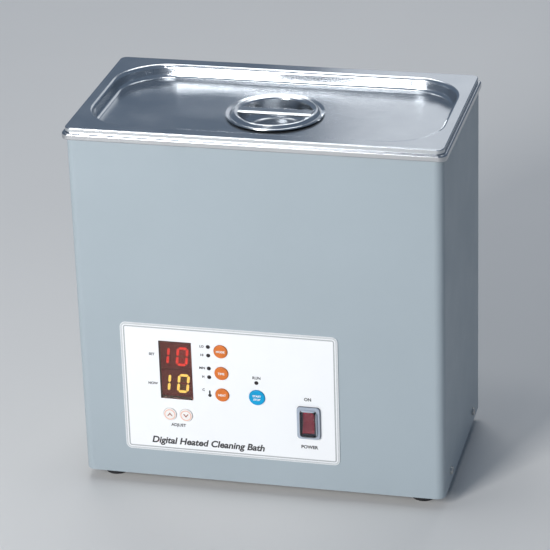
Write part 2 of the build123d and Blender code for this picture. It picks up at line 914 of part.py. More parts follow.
# Clear splash cover: a flange on the bezel and a dome over the rocker
with BuildPart() as power_switch_cover:
    with BuildSketch(front_plane(bezel_front)):
        with Locations((switch_x, switch_z)):
            RectangleRounded(switch_width, switch_height, cover_corner)
    extrude(amount=cover_flange)
    fillet(power_switch_cover.faces().sort_by(Axis.Y)[0].edges(), cover_flange_rounding)
    with BuildSketch(front_plane(bezel_front)):
        with Locations((switch_x, switch_z)):
            RectangleRounded(
                switch_width - 2 * cover_inset,
                switch_height - 2 * cover_inset,
                cover_dome_corner,
            )
    extrude(amount=cover_height)
    fillet(power_switch_cover.faces().sort_by(Axis.Y)[0].edges(), cover_dome_rounding)
    with BuildSketch(front_plane(bezel_front)):
        with Locations((switch_x, switch_z)):
            RectangleRounded(
                rocker_width + 2 * cover_room_x,
                2 * (rocker_half + cover_room_z),
                cover_corner,
            )
    extrude(amount=cover_height - cover_wall, mode=Mode.SUBTRACT)
save(power_switch_cover, "power_switch_cover")

# ---------------------------------------------------------------- transducers
stack_places = [
    (x, case_y + y)
    for x in (-transducer_pitch_x / 2, transducer_pitch_x / 2)
    for y in (-transducer_pitch_y / 2, transducer_pitch_y / 2)
]
horn_bottom = tank_bottom - horn_height
upper_ring = horn_bottom - ring_height
upper_plate = upper_ring - plate_height
lower_ring = upper_plate - ring_height
lower_plate = lower_ring - plate_height
back_mass = lower_plate - back_mass_height


def turned(*outlines):
    """The same turned pieces on each transducer's axis, from (radius, height) outlines."""
    with BuildPart() as pieces:
        for x, y in stack_places:
            for outline in outlines:
                with BuildSketch(Plane.XZ.offset(-y)):
                    with Locations((x, 0)):
                        Polygon(*outline, align=None)
                revolve(axis=Axis((x, y, 0), (0, 0, 1)))
    return pieces


def washer(bottom, height, radius, bore):
    """Outline of a flat ring."""
    top = bottom + height
    return [(bore, bottom), (radius, bottom), (radius, top), (bore, top)]


horn_outline = [
    (bolt_radius, horn_bottom),
    (stack_radius, horn_bottom),
    (horn_radius, tank_bottom - horn_rim),
    (horn_radius, tank_bottom),
    (0, tank_bottom),
    (0, tank_bottom - bolt_thread_depth),
    (bolt_radius, tank_bottom - bolt_thread_depth),
]
save(turned(horn_outline), "transducer_horns")
rings = [washer(bottom, ring_height, stack_radius, ring_bore) for bottom in (upper_ring, lower_ring)]
save(turned(*rings), "piezo_rings")
plates = [washer(bottom, plate_height, plate_radius, ring_bore) for bottom in (upper_plate, lower_plate)]
save(turned(*plates), "electrode_plates")
mass_outline = washer(back_mass, back_mass_height, stack_radius, bolt_radius + fit_gap)
save(turned(mass_outline), "transducer_back_masses")
bolt_outline = [
    (0, back_mass - bolt_head_height),
    (bolt_head_radius, back_mass - bolt_head_height),
    (bolt_head_radius, back_mass),
    (bolt_radius, back_mass),
    (bolt_radius, tank_bottom - bolt_thread_depth - bolt_end_gap),
    (0, tank_bottom - bolt_thread_depth - bolt_end_gap),
]
save(turned(bolt_outline), "transducer_bolts")

# ---------------------------------------------------------------- heating
def make_heater_pad(side):
    """A flat silicone heater stuck to the tank's front or rear wall."""
    wall = case_y + side * (tank_front_to_back / 2 + sheet)
    with BuildPart() as pad:
        with BuildSketch(Plane.XZ.offset(-wall)):
            with Locations((0, tank_bottom + heater_rise)):
                RectangleRounded(heater_length, heater_height, heater_corner)
        extrude(amount=-side * heater_thickness)
    return pad


save(make_heater_pad(-1), "heater_pad_front")
save(make_heater_pad(1), "heater_pad_rear")

with BuildPart() as temperature_sensor:
    with BuildSketch(Plane.YZ.offset(-tank_width / 2 - sheet)):
        with Locations((case_y, tank_bottom + sensor_rise)):
            SlotOverall(sensor_length, sensor_width)
            with GridLocations(sensor_hole_pitch, 0, 2, 1):
                Circle(sensor_hole_radius, mode=Mode.SUBTRACT)
    extrude(amount=-sensor_height)
    fillet(temperature_sensor.faces().sort_by(Axis.X)[0].outer_wire().edges(), sensor_rounding)
save(temperature_sensor, "temperature_sensor")

# ---------------------------------------------------------------- generator
generator_bottom = casing_bottom + base_sheet + standoff_height
generator_top = generator_bottom + board_thickness
generator_place = (generator_x, case_y)


def generator_corners():
    """The generator board's four standoff places, about its middle."""
    across = generator_length - 2 * generator_margin
    along = generator_width - 2 * generator_margin
    return GridLocations(across, along, 2, 2)


with BuildPart() as generator_board:
    with BuildSketch(Plane.XY.offset(generator_bottom)):
        with Locations(generator_place):
            RectangleRounded(generator_length, generator_width, generator_corner)
            with generator_corners():
                Circle(board_hole_radius, mode=Mode.SUBTRACT)
    extrude(amount=board_thickness)
save(generator_board, "generator_board")

with BuildPart() as generator_standoffs:
    with BuildSketch(Plane.XY.offset(casing_bottom + base_sheet)):
        with Locations(generator_place):
            with generator_corners():
                RegularPolygon(radius=standoff_radius, side_count=hex_sides)
    extrude(amount=standoff_height)
    with BuildSketch(Plane.XY.offset(generator_bottom)):
        with Locations(generator_place):
            with generator_corners():
                Circle(stud_radius)
    extrude(amount=board_thickness + standoff_stud)
save(generator_standoffs, "generator_standoffs")

heatsink_x = generator_x + heatsink_shift
web_y = case_y + heatsink_y
fin_y = web_y + (heatsink_web + fin_depth) / 2 - moving_gap
with BuildPart() as generator_heatsink:
    with BuildSketch(Plane.XY.offset(generator_top)):
        with Locations((heatsink_x, web_y)):
            Rectangle(heatsink_length, heatsink_web)
        with Locations((heatsink_x, fin_y)):
            with GridLocations(fin_pitch, 0, fin_count, 1):
                Rectangle(fin_thickness, fin_depth)
    extrude(amount=heatsink_height)
save(generator_heatsink, "generator_heatsink")

transistor_y = web_y - (heatsink_web + transistor_thickness) / 2
with BuildPart() as power_transistors:
    with BuildSketch(Plane.XY.offset(generator_top + transistor_rise)):
        with Locations((heatsink_x, transistor_y)):
            with GridLocations(transistor_pitch, 0, transistor_count, 1):
                Rectangle(transistor_width, transistor_thickness)
    extrude(amount=transistor_height)
    with BuildSketch(Plane.XY.offset(generator_top)):
        with Locations((heatsink_x, transistor_y)):
            with GridLocations(transistor_pitch, 0, transistor_count, 1):
                with GridLocations(pin_pitch, 0, pin_count, 1):
                    Rectangle(pin_width, pin_thickness)
    extrude(amount=transistor_rise)
save(power_transistors, "power_transistors")

transformer_place = (generator_x + transformer_x, case_y + transformer_y)
with BuildPart() as output_transformer:
    with BuildSketch(Plane.XY.offset(generator_top)):
        with Locations(transformer_place):
            Rectangle(core_length, core_width)
    extrude(amount=core_height)
    with BuildSketch(Plane.XY.offset(generator_top + winding_rise)):
        with Locations(transformer_place):
            RectangleRounded(winding_size, winding_size, winding_corner)
    extrude(amount=winding_height)
save(output_transformer, "output_transformer")

with BuildPart() as filter_capacitors:
    with BuildSketch(Plane.XY.offset(generator_top)):
        with Locations((generator_x + capacitor_x, case_y + capacitor_y)):
            with GridLocations(capacitor_pitch, 0, 2, 1):
                Circle(capacitor_radius)
    extrude(amount=capacitor_height)
    fillet(faces_at(filter_capacitors, generator_top + capacitor_height).edges(), capacitor_rounding)
save(filter_capacitors, "filter_capacitors")

# ---------------------------------------------------------------- fan
fan_front = -sheet - fan_depth
fan_radius = fan_size / 2 - fan_wall
rotor_front = fan_front + spider_thickness + rotor_gap
rotor_depth = fan_depth - spider_thickness - 2 * rotor_gap
with BuildPart() as fan_frame:
    with BuildSketch(rear_plane(fan_front)):
        with Locations((fan_x, fan_z)):
            RectangleRounded(fan_size, fan_size, fan_corner)
            Circle(fan_radius, mode=Mode.SUBTRACT)
            with fan_corners():
                Circle(screw_hole_radius, mode=Mode.SUBTRACT)
    extrude(amount=-fan_depth)
    with BuildSketch(rear_plane(fan_front)):
        with Locations((fan_x, fan_z)):
            Circle(hub_radius)
            Rectangle(2 * fan_radius + fan_wall, spider_width)
            Rectangle(spider_width, 2 * fan_radius + fan_wall)
    extrude(amount=-spider_thickness)
    with BuildSketch(rear_plane(fan_front + spider_thickness)):
        with Locations((fan_x, fan_z)):
            Circle(shaft_radius)
    extrude(amount=-rotor_depth)
save(fan_frame, "fan_frame")

with BuildPart() as fan_rotor:
    with BuildSketch(rear_plane(rotor_front)):
        with Locations((fan_x, fan_z)):
            Circle(hub_radius)
    extrude(amount=-rotor_depth)
    fillet(fan_rotor.faces().sort_by(Axis.Y)[-1].edges(), hub_rounding)
    for blade in range(blade_count):
        around = radians(360.0 * blade / blade_count)
        pitch = radians(blade_pitch)
        radial = Vector(cos(around), 0, sin(around))
        chord = Vector(-sin(around), 0, cos(around)) * cos(pitch) + Vector(0, 1, 0) * sin(pitch)
        middle = (fan_x, rear_y + fan_front + (fan_depth + rotor_gap) / 2, fan_z)
        with BuildSketch(Plane(origin=middle, x_dir=radial, z_dir=radial.cross(chord))):
            with Locations(((hub_radius + fan_radius) / 2 - blade_tip_gap, 0)):
                Rectangle(fan_radius - hub_radius, blade_chord)
        extrude(amount=blade_thickness / 2, both=True)
    with BuildSketch(rear_plane(rotor_front)):
        with Locations((fan_x, fan_z)):
            Circle(shaft_radius + moving_gap / 2)
    extrude(amount=-(rotor_depth - hub_wall), mode=Mode.SUBTRACT)
save(fan_rotor, "fan_rotor")

with BuildPart() as fan_guard:
    with BuildSketch(rear_plane(0)):
        with Locations((fan_x, fan_z)):
            # Outermost first, because each ring clears everything inside it
            for ring in reversed(guard_rings):
                Circle(ring + guard_wire / 2)
                Circle(ring - guard_wire / 2, mode=Mode.SUBTRACT)
            Rectangle(guard_wire, 2 * guard_rings[-1])
            Rectangle(2 * guard_rings[-1], guard_wire)
            for slant in (45.0, -45.0):
                Rectangle(fan_hole_pitch * sqrt(2), guard_wire, rotation=slant)
            with fan_corners():
                Circle(guard_eye_radius)
                Circle(screw_hole_radius, mode=Mode.SUBTRACT)
    extrude(amount=-guard_thickness)
save(fan_guard, "fan_guard")

with BuildPart() as fan_screws:
    with BuildSketch(rear_plane(guard_thickness)):
        with Locations((fan_x, fan_z)):
            with fan_corners():
                Circle(screw_head_radius)
    extrude(amount=-screw_head_height)
    fillet(fan_screws.faces().group_by(Axis.Y)[-1].edges(), head_rounding)
    with BuildSketch(rear_plane(guard_thickness)):
        with Locations((fan_x, fan_z)):
            with fan_corners():
                Circle(screw_radius)
    extrude(amount=fan_depth + sheet)
    with BuildSketch(rear_plane(guard_thickness + screw_head_height)):
        with Locations((fan_x, fan_z)):
            with fan_corners():
                draw_cross()
    extrude(amount=cross_depth, mode=Mode.SUBTRACT)
save(fan_screws, "fan_screws")

# ---------------------------------------------------------------- mains inlet
socket_z = inlet_z - socket_drop
drawer_z = inlet_z + drawer_rise
with BuildPart() as mains_inlet:
    with BuildSketch(rear_plane(0)):
        with Locations((inlet_x, inlet_z)):
            RectangleRounded(
                inlet_body_width + 2 * inlet_lip,
                inlet_body_height + 2 * inlet_lip,
                inlet_corner,
            )
    extrude(amount=-inlet_flange)
    fillet(mains_inlet.faces().sort_by(Axis.Y)[-1].edges(), inlet_rounding)
    with BuildSketch(rear_plane(-inlet_depth)):
        with Locations((inlet_x, inlet_z)):
            Rectangle(inlet_body_width, inlet_body_height)
    extrude(amount=-inlet_depth)
    with BuildSketch(rear_plane(inlet_flange)) as socket_outline:
        with Locations((inlet_x, socket_z)):
            Rectangle(socket_width, socket_height)
        chamfer(socket_outline.vertices().group_by(Axis.Y)[-1], socket_chamfer)
    extrude(amount=socket_depth, mode=Mode.SUBTRACT)
    with BuildSketch(rear_plane(inlet_flange)):
        with Locations((inlet_x, drawer_z)):
            Rectangle(drawer_width + 2 * drawer_gap, drawer_height + 2 * drawer_gap)
    extrude(amount=drawer_length + drawer_end_gap, mode=Mode.SUBTRACT)
save(mains_inlet, "mains_inlet")

with BuildPart() as inlet_pins:
    for pin_x, pin_z in contact_places:
        with BuildSketch(rear_plane(inlet_flange - socket_depth)):
            with Locations((inlet_x + pin_x, socket_z + pin_z)):
                Rectangle(contact_width, contact_height)
        extrude(amount=-(socket_depth - contact_recess))
    fillet(inlet_pins.faces().sort_by(Axis.Y)[-len(contact_places):].edges(), contact_rounding)
save(inlet_pins, "inlet_pins")

fuse_y = rear_y - fuse_inset
fuse_z = drawer_z - fit_gap
with BuildPart() as fuse_drawer:
    with BuildSketch(rear_plane(inlet_flange)):
        with Locations((inlet_x, drawer_z)):
            RectangleRounded(
                drawer_width + 2 * drawer_lip,
                drawer_height + 2 * drawer_lip,
                drawer_corner,
            )
    extrude(amount=-drawer_head)
    fillet(fuse_drawer.faces().sort_by(Axis.Y)[-1].edges(), drawer_rounding)
    with BuildSketch(rear_plane(inlet_flange)):
        with Locations((inlet_x, drawer_z)):
            Rectangle(drawer_width, drawer_height)
    extrude(amount=drawer_length)
    with BuildSketch(Plane.XY.offset(fuse_z - fuse_cap_radius)):
        with Locations((inlet_x, fuse_y)):
            Rectangle(2 * (fuse_half + drawer_gap), 2 * (fuse_cap_radius + 2 * fit_gap))
    extrude(amount=drawer_height, mode=Mode.SUBTRACT)
save(fuse_drawer, "fuse_drawer")

with BuildPart() as fuse:
    with BuildSketch(Plane.YZ.offset(inlet_x)):
        with Locations((fuse_y, fuse_z)):
            Circle(fuse_radius)
    extrude(amount=fuse_half, both=True)
    for side in (-1, 1):
        with BuildSketch(Plane.YZ.offset(inlet_x + side * fuse_half)):
            with Locations((fuse_y, fuse_z)):
                Circle(fuse_cap_radius)
        extrude(amount=-side * fuse_cap_length)
save(fuse, "fuse")

# ---------------------------------------------------------------- drain
drain_y = case_y + drain_inset
drain_axis = Axis((drain_x, drain_y, 0), (0, 0, 1))
fitting_bottom = tank_bottom - fitting_length
strainer_top = tank_floor + strainer_height
# Threaded tail through the tank's floor, headed by a drilled strainer
with BuildPart() as drain_fitting:
    with BuildSketch(Plane.XZ.offset(-drain_y)):
        with Locations((drain_x, 0)):
            Polygon(
                (pipe_bore, fitting_bottom),
                (pipe_radius, fitting_bottom),
                (pipe_radius, tank_floor),
                (strainer_radius, tank_floor),
                (strainer_radius - strainer_height, strainer_top),
                (0, strainer_top),
                (0, tank_floor),
                (pipe_bore, tank_floor),
                align=None,
            )
    revolve(axis=drain_axis)
    with BuildSketch(Plane.XY.offset(tank_floor)):
        with Locations((drain_x, drain_y)):
            with PolarLocations(strainer_pitch, strainer_ring_holes):
                Circle(strainer_hole)
            Circle(strainer_hole)
    extrude(amount=strainer_height, mode=Mode.SUBTRACT)
save(drain_fitting, "drain_fitting")

with BuildPart() as drain_nut:
    with BuildSketch(Plane.XY.offset(tank_bottom - nut_height)):
        with Locations((drain_x, drain_y)):
            RegularPolygon(radius=nut_radius, side_count=hex_sides)
            Circle(pipe_radius, mode=Mode.SUBTRACT)
    extrude(amount=nut_height)
save(drain_nut, "drain_nut")

with BuildPart() as drain_pipe:
    with BuildLine(Plane.YZ.offset(drain_x)) as pipe_path:
        FilletPolyline(
            (drain_y, fitting_bottom),
            (drain_y, drain_z),
            (rear_y + valve_start, drain_z),
            radius=pipe_bend,
        )
    with BuildSketch(Plane.XY.offset(fitting_bottom)):
        with Locations((drain_x, drain_y)):
            Circle(pipe_radius)
            Circle(pipe_bore, mode=Mode.SUBTRACT)
    sweep(path=pipe_path.line)
save(drain_pipe, "drain_pipe")

valve_y = rear_y + valve_centre
with BuildPart() as drain_valve_body:
    with BuildSketch(rear_plane(valve_start)):
        with Locations((drain_x, drain_z)):
            RegularPolygon(radius=valve_hex_radius, side_count=hex_sides)
    extrude(amount=-(valve_end - valve_start))
    with BuildSketch(Plane.XY.offset(drain_z - barrel_half)):
        with Locations((drain_x, valve_y)):
            Circle(barrel_radius)
    extrude(amount=2 * barrel_half)
    with BuildSketch(rear_plane(valve_end)):
        with Locations((drain_x, drain_z)):
            Circle(spigot_radius)
    extrude(amount=-spigot_length)
    with BuildSketch(rear_plane(valve_start)):
        with Locations((drain_x, drain_z)):
            Circle(pipe_bore)
    extrude(amount=-(valve_end - valve_start + spigot_length), mode=Mode.SUBTRACT)
    with BuildSketch(Plane.XY.offset(drain_z - barrel_half + barrel_floor)):
        with Locations((drain_x, valve_y)):
            Circle(plug_radius + plug_gap)
    extrude(amount=2 * barrel_half, mode=Mode.SUBTRACT)
save(drain_valve_body, "drain_valve_body")

# Plug cock: at rest its cross hole lies along X, so the drain is shut
plug_lift = barrel_floor + fit_gap
with BuildPart() as drain_plug:
    with BuildSketch(Plane.XY.offset(drain_z - barrel_half + plug_lift)):
        with Locations((drain_x, valve_y)):
            Circle(plug_radius)
    extrude(amount=2 * barrel_half - plug_lift)
    with BuildSketch(Plane.XY.offset(drain_z + barrel_half)):
        with Locations((drain_x, valve_y)):
            Rectangle(plug_square, plug_square)
    extrude(amount=plug_square_height)
    with BuildSketch(Plane.YZ.offset(drain_x)):
        with Locations((valve_y, drain_z)):
            Circle(pipe_bore)
    extrude(amount=plug_radius, both=True, mode=Mode.SUBTRACT)
save(drain_plug, "drain_plug")

lever_bottom = drain_z + barrel_half + lever_gap
with BuildPart() as drain_lever:
    with BuildSketch(Plane.XY.offset(lever_bottom)):
        with Locations((drain_x, valve_y)):
            Circle(lever_eye_radius)
        with Locations((drain_x + lever_length / 2, valve_y)):
            SlotOverall(lever_length, lever_width)
    extrude(amount=lever_thickness)
    fillet(faces_at(drain_lever, lever_bottom + lever_thickness).edges(), lever_rounding)
    with BuildSketch(Plane.XY.offset(lever_bottom)):
        with Locations((drain_x, valve_y)):
            Rectangle(plug_square, plug_square)
    extrude(amount=lever_thickness, mode=Mode.SUBTRACT)
save(drain_lever, "drain_lever")
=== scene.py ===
import json
import math

import bmesh
import bpy
from mathutils import Matrix, Vector


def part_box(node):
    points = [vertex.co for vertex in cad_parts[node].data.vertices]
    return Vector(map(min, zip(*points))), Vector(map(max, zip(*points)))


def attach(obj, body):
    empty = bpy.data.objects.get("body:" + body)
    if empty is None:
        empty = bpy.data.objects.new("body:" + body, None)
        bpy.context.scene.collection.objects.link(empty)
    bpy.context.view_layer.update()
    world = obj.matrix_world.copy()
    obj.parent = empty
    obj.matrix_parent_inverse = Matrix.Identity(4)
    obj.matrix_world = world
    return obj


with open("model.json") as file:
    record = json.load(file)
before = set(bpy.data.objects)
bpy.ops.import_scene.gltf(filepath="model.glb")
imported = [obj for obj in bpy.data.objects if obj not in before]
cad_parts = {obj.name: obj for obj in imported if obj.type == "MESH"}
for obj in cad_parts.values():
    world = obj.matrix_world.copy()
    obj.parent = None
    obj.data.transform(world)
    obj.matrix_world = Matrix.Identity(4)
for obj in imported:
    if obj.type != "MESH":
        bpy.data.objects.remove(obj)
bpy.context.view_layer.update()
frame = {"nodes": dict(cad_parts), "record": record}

# The looks of a bench-top ultrasonic cleaner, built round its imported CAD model.
# Metres, +Z up, the cleaner stands on z = 0 and its front faces -Y.

MM = 0.001
nodes = frame["nodes"]

casing_low, casing_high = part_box("casing_wrap")
panel_low, panel_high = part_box("panel_overlay")
window_low, window_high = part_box("display_window")
lid_low, lid_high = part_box("lid_pan")
tank_low, tank_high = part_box("tank")
rear_low, rear_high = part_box("rear_panel")

front_y = casing_low.y
panel_y = panel_low.y
case_middle = (casing_low + casing_high) / 2


# ---------------------------------------------------------------- camera
def make_camera():
    """The camera at the photograph's viewing angle: to the right, above, slightly rolled."""
    azimuth = math.radians(14.09)
    elevation = math.radians(24.51)
    roll = math.radians(-1.88)
    distance = 2.354
    aim = Vector((case_middle.x - 0.0052, case_middle.y + 0.0013, 0.1687))
    back = Vector((
        math.sin(azimuth) * math.cos(elevation),
        -math.cos(azimuth) * math.cos(elevation),
        math.sin(elevation),
    ))
    level = Vector((0, 0, 1)).cross(back).normalized()
    lift = back.cross(level)
    right = level * math.cos(roll) + lift * math.sin(roll)
    up = lift * math.cos(roll) - level * math.sin(roll)
    turn = Matrix((right, up, back)).transposed()
    data = bpy.data.cameras.new("camera")
    data.sensor_width = 36.0
    data.lens = 177.0
    camera = bpy.data.objects.new("camera", data)
    camera.matrix_world = Matrix.Translation(aim + back * distance) @ turn.to_4x4()
    bpy.context.scene.collection.objects.link(camera)
    bpy.context.scene.camera = camera


make_camera()


# ---------------------------------------------------------------- node helpers
class Shader:
    """A material under construction: its node tree and its Principled shader."""

    def __init__(self, name):
        self.material = bpy.data.materials.new(name)
        self.material.use_nodes = True
        self.tree = self.material.node_tree
        self.principled = self.tree.nodes["Principled BSDF"]
        self.coordinates = None

    def set(self, **values):
        """Puts plain values on the shader's own sockets; underscores stand for spaces."""
        for key, value in values.items():
            socket = self.principled.inputs[key.replace("_", " ")]
            socket.default_value = (*value, 1.0) if isinstance(value, tuple) and len(value) == 3 else value
        return self

    def node(self, kind, **values):
        """Adds a node and sets its inputs and properties by name."""
        made = self.tree.nodes.new(kind)
        for key, value in values.items():
            label = key.replace("_", " ")
            if label in made.inputs:
                made.inputs[label].default_value = value
            else:
                setattr(made, key, value)
        return made

    def link(self, source, target):
        self.tree.links.new(source, target)

    def place(self, scale=(1.0, 1.0, 1.0)):
        """Object coordinates in metres, stretched by `scale`."""
        if self.coordinates is None:
            self.coordinates = self.tree.nodes.new("ShaderNodeTexCoord")
        mapping = self.tree.nodes.new("ShaderNodeMapping")
        mapping.inputs["Scale"].default_value = scale
        self.link(self.coordinates.outputs["Object"], mapping.inputs["Vector"])
        return mapping.outputs["Vector"]

    def noise(self, scale, detail=2.0, roughness=0.5, stretch=(1.0, 1.0, 1.0)):
        """A noise field over the object; returns its grey output."""
        field = self.node("ShaderNodeTexNoise", Scale=scale, Detail=detail, Roughness=roughness)
        self.link(self.place(stretch), field.inputs["Vector"])
        return field.outputs[0]

    def ramp(self, source, stops):
        """A colour ramp of (position, colour) stops fed by `source`."""
        made = self.tree.nodes.new("ShaderNodeValToRGB")
        elements = made.color_ramp.elements
        while len(elements) < len(stops):
            elements.new(0.5)
        for element, (position, colour) in zip(elements, stops):
            element.position = position
            element.color = (*colour, 1.0)
        self.link(source, made.inputs["Fac"])
        return made.outputs["Color"]

    def span(self, source, low, high):
        """Maps a grey field from about 0.3..0.7 to low..high."""
        made = self.node("ShaderNodeMapRange", From_Min=0.3, From_Max=0.7, To_Min=low, To_Max=high)
        self.link(source, made.inputs["Value"])
        return made.outputs["Result"]

    def colour(self, source):
        self.link(source, self.principled.inputs["Base Color"])
        return self

    def rough(self, source):
        self.link(source, self.principled.inputs["Roughness"])
        return self

    def bump(self, source, strength, distance):
        """Bump from a grey field, `distance` metres deep; bumps stack in the order they are made."""
        made = self.node("ShaderNodeBump", Strength=strength, Distance=distance)
        self.link(source, made.inputs["Height"])
        socket = self.principled.inputs["Normal"]
        if socket.links:
            self.link(socket.links[0].from_socket, made.inputs["Normal"])
        self.link(made.outputs["Normal"], socket)
        return self


def tones(colour, spread):
    """Two shades of one colour, `spread` darker and lighter."""
    return tuple(c * (1 - spread) for c in colour), tuple(min(1.0, c * (1 + spread)) for c in colour)


def mottled(name, colour, roughness, spread=0.06, scale=60.0, grain=900.0, depth=0.00004, strength=0.25):
    """A surface with slow colour drift, uneven gloss and a fine moulded or sprayed grain."""
    shader = Shader(name)
    dark, light = tones(colour, spread)
    slow = shader.noise(scale, 3.0)
    shader.colour(shader.ramp(slow, [(0.3, dark), (0.7, light)]))
    shader.rough(shader.span(shader.noise(scale * 3.0, 4.0), roughness * 0.88, min(1.0, roughness * 1.15)))
    shader.bump(shader.noise(grain, 2.0), strength, depth)
    return shader


# ---------------------------------------------------------------- materials
def powder_coat():
    """Pale grey-blue powder coat: orange peel, fine speckle and faint handling marks."""
    shader = Shader("powder_coat")
    base = (0.352, 0.406, 0.436)
    dark, light = tones(base, 0.018)
    shader.colour(shader.ramp(shader.noise(9.0, 4.0), [(0.3, dark), (0.7, light)]))
    shader.rough(shader.span(shader.noise(26.0, 5.0, 0.6), 0.36, 0.46))
    shader.bump(shader.noise(420.0, 2.0, 0.5), 0.18, 0.00012)
    shader.bump(shader.noise(1900.0, 1.0), 0.12, 0.00003)
    return shader.set(Specular_IOR_Level=0.42).material


def steel(name, colour, roughness, stretch, streak=0.02, grain=1400.0):
    """Polished stainless steel with fine drawing marks along the stretched axis."""
    shader = Shader(name)
    dark, light = tones(colour, 0.05)
    shader.colour(shader.ramp(shader.noise(5.0, 3.0), [(0.3, dark), (0.7, light)]))
    streaks = shader.noise(grain, 1.0, 0.5, stretch)
    smudges = shader.noise(18.0, 4.0, 0.6)
    blend = shader.node("ShaderNodeMix", data_type="FLOAT", Factor=0.9)
    shader.link(streaks, blend.inputs[2])
    shader.link(smudges, blend.inputs[3])
    shader.rough(shader.span(blend.outputs[0], roughness * 0.8, roughness * 1.35))
    shader.bump(streaks, streak, 0.000006)
    return shader.set(Metallic=1.0).material


def tinted_glass(name, colour, roughness, weight, ior=1.46):
    """Clear moulded plastic or glass with a faint moulding ripple."""
    shader = Shader(name)
    dark, light = tones(colour, 0.05)
    shader.colour(shader.ramp(shader.noise(80.0, 2.0), [(0.3, dark), (0.7, light)]))
    shader.rough(shader.span(shader.noise(120.0, 3.0), roughness * 0.8, roughness * 1.3))
    shader.bump(shader.noise(260.0, 1.0), 0.06, 0.00004)
    return shader.set(Transmission_Weight=weight, IOR=ior).material


def splash_cover():
    """Soft clear moulding with a milky rim, where the sheet is thick, round a clear dome."""
    low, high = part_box("power_switch_cover")
    middle = (low + high) / 2
    rim = 3.2 * MM
    shader = Shader("clear_cover")
    place = shader.node("ShaderNodeSeparateXYZ")
    shader.link(shader.place(), place.inputs["Vector"])
    edges = []
    for axis, centre, half in (("X", middle.x, (high.x - low.x) / 2), ("Z", middle.z, (high.z - low.z) / 2)):
        offset = shader.node("ShaderNodeMath", operation="SUBTRACT")
        shader.link(place.outputs[axis], offset.inputs[0])
        offset.inputs[1].default_value = centre
        reach = shader.node("ShaderNodeMath", operation="ABSOLUTE")
        shader.link(offset.outputs[0], reach.inputs[0])
        past = shader.node("ShaderNodeMapRange", From_Min=half - rim, From_Max=half - rim + 0.5 * MM)
        shader.link(reach.outputs[0], past.inputs["Value"])
        edges.append(past.outputs["Result"])
    milky = shader.node("ShaderNodeMath", operation="MAXIMUM")
    shader.link(edges[0], milky.inputs[0])
    shader.link(edges[1], milky.inputs[1])
    shader.colour(shader.ramp(milky.outputs[0], [(0.0, (0.95, 0.96, 0.98)), (1.0, (0.43, 0.48, 0.56))]))
    clear = shader.node("ShaderNodeMapRange", To_Min=0.99, To_Max=0.12)
    shader.link(milky.outputs[0], clear.inputs["Value"])
    shader.link(clear.outputs["Result"], shader.principled.inputs["Transmission Weight"])
    shader.rough(shader.span(shader.noise(120.0, 3.0), 0.04, 0.09))
    shader.bump(shader.noise(260.0, 1.0), 0.06, 0.00004)
    return shader.set(IOR=1.3).material


def glowing(name, colour, strength):
    """A lit display segment, its tone varied a little at random."""
    shader = Shader(name)
    dark, light = tones(colour, 0.12)
    shader.colour(shader.ramp(shader.noise(500.0, 2.0), [(0.3, dark), (0.7, light)]))
    shader.rough(shader.span(shader.noise(700.0, 2.0), 0.3, 0.45))
    return shader.set(Emission_Color=colour, Emission_Strength=strength).material


def board_green():
    """Solder mask over copper traces."""
    shader = Shader("board_green")
    traces = shader.node("ShaderNodeTexBrick", Scale=90.0, Mortar_Size=0.06)
    traces.inputs["Color1"].default_value = (0.012, 0.11, 0.045, 1.0)
    traces.inputs["Color2"].default_value = (0.010, 0.095, 0.04, 1.0)
    traces.inputs["Mortar"].default_value = (0.03, 0.2, 0.08, 1.0)
    shader.link(shader.place(), traces.inputs["Vector"])
    shader.colour(traces.outputs["Color"])
    shader.rough(shader.span(shader.noise(200.0, 2.0), 0.3, 0.42))
    shader.bump(traces.outputs["Fac"], 0.3, 0.00004)
    return shader.material


